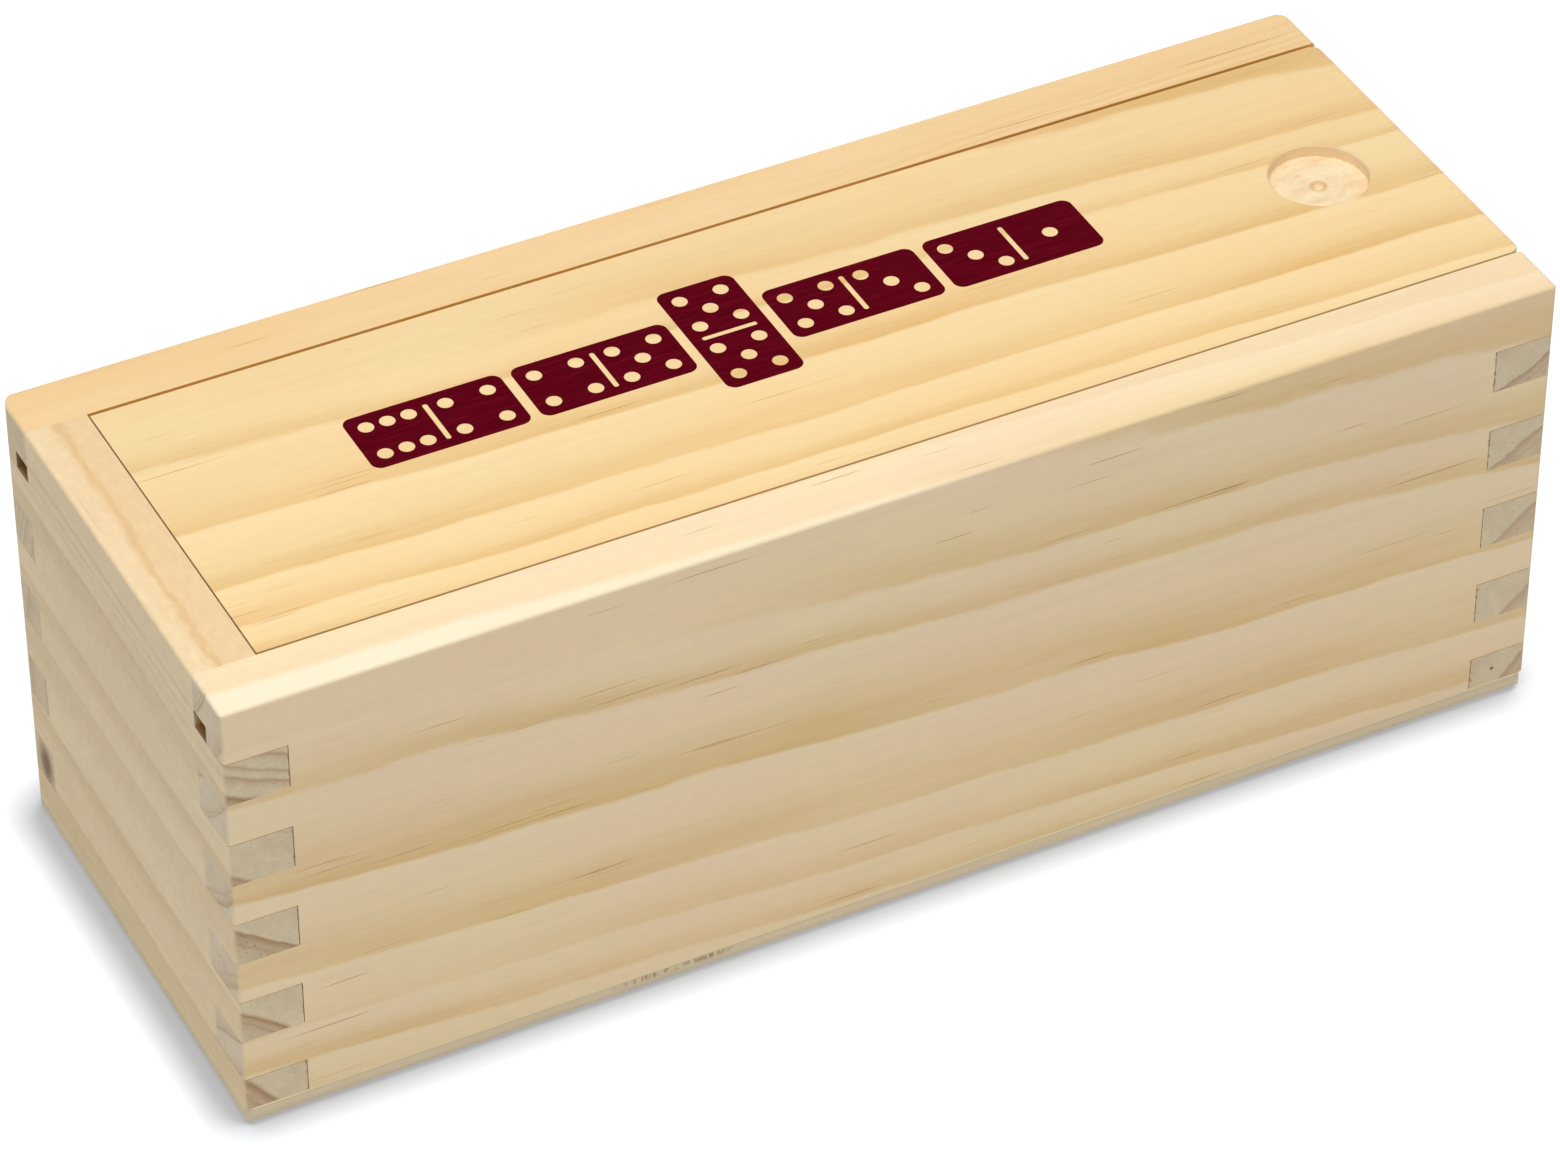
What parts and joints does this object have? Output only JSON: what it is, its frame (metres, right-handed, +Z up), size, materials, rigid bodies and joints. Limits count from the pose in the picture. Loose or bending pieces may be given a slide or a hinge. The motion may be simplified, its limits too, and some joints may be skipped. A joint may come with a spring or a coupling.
{
  "type": "domino storage box",
  "caption": "Long finger-jointed pine box with a plywood bottom and a board lid that slides in grooves out of its lower end, with a drilled finger recess.",
  "frame": {"origin": "on the surface that the box stands on, under the middle of the box", "axes": "+X towards the open end, the way the lid slides out; +Y towards the rear side; +Z up through the lid"},
  "size_m": [0.1883, 0.07, 0.068],
  "materials": {
    "side_pine": "sanded pine, thin matt clear coat",
    "end_pine": "sanded pine, thin matt clear coat",
    "plywood": "sanded poplar plywood",
    "lid_pine": null,
    "pin_steel": "bright drawn wire"
  },
  "bodies": {
    "box": {"front_side": "side_pine", "rear_side": "side_pine", "closed_end": "end_pine", "open_end": "end_pine", "bottom_panel": "plywood", "bottom_pins": "pin_steel"},
    "lid": {"lid": "lid_pine"}
  },
  "joints": [
    {"name": "lid_slide", "type": "slide", "parent": "box", "child": "lid", "axis": [1, 0, 0], "range_m": [0, 0.182]}
  ]
}
